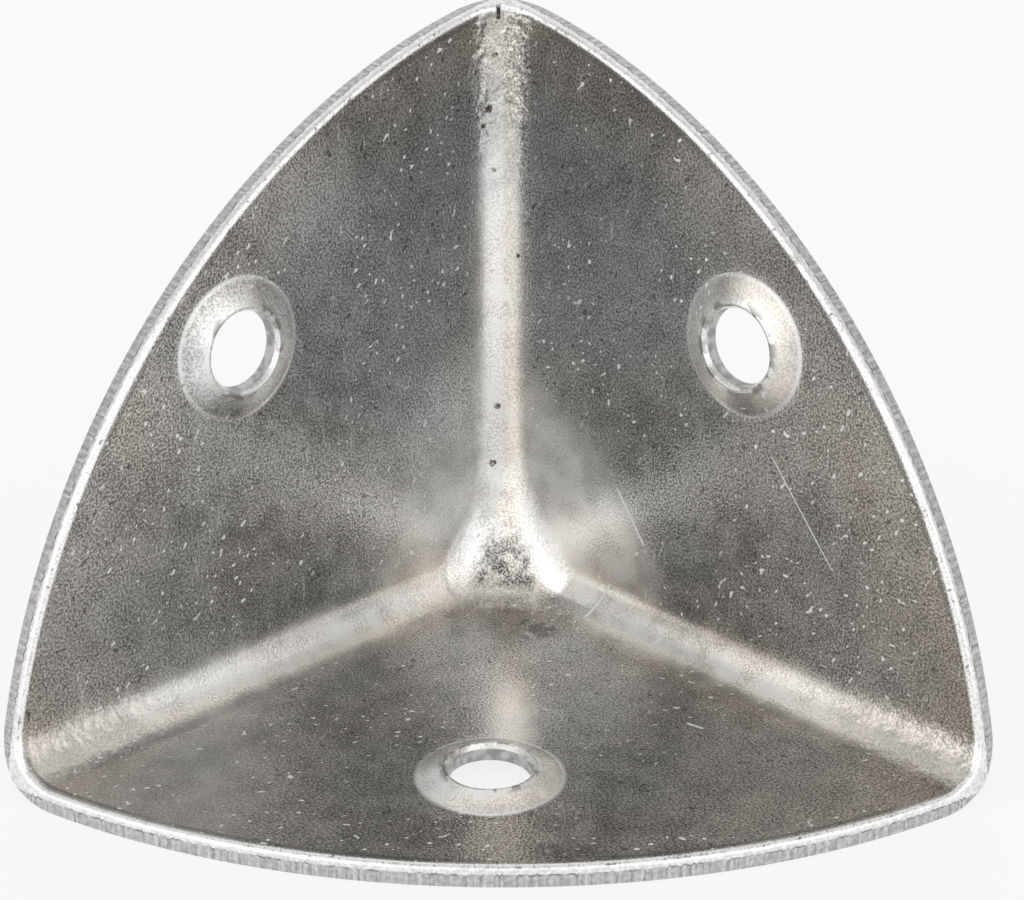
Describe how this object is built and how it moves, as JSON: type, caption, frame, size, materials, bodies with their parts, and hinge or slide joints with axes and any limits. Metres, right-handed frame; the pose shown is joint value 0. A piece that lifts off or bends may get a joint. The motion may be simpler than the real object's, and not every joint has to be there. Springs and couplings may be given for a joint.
{
  "type": "box corner",
  "caption": "Pressed sheet-steel corner cap for a wooden box: square walls with curved rims, rounded creases and a dimpled countersunk screw hole in each wall.",
  "frame": {"origin": "under the middle of the part's box, on the outer face of the base wall", "axes": "the base wall lies in the XY plane, the left wall stands in a YZ plane and the right wall in an XZ plane; the hollow opens towards +X, -Y and +Z"},
  "size_m": [0.0298, 0.0298, 0.0298],
  "materials": {
    "plated_sheet": "worn dull plating, brighter at the creases and on the rounded rim"
  },
  "bodies": {
    "root": {"box_corner": "plated_sheet"}
  },
  "joints": []
}
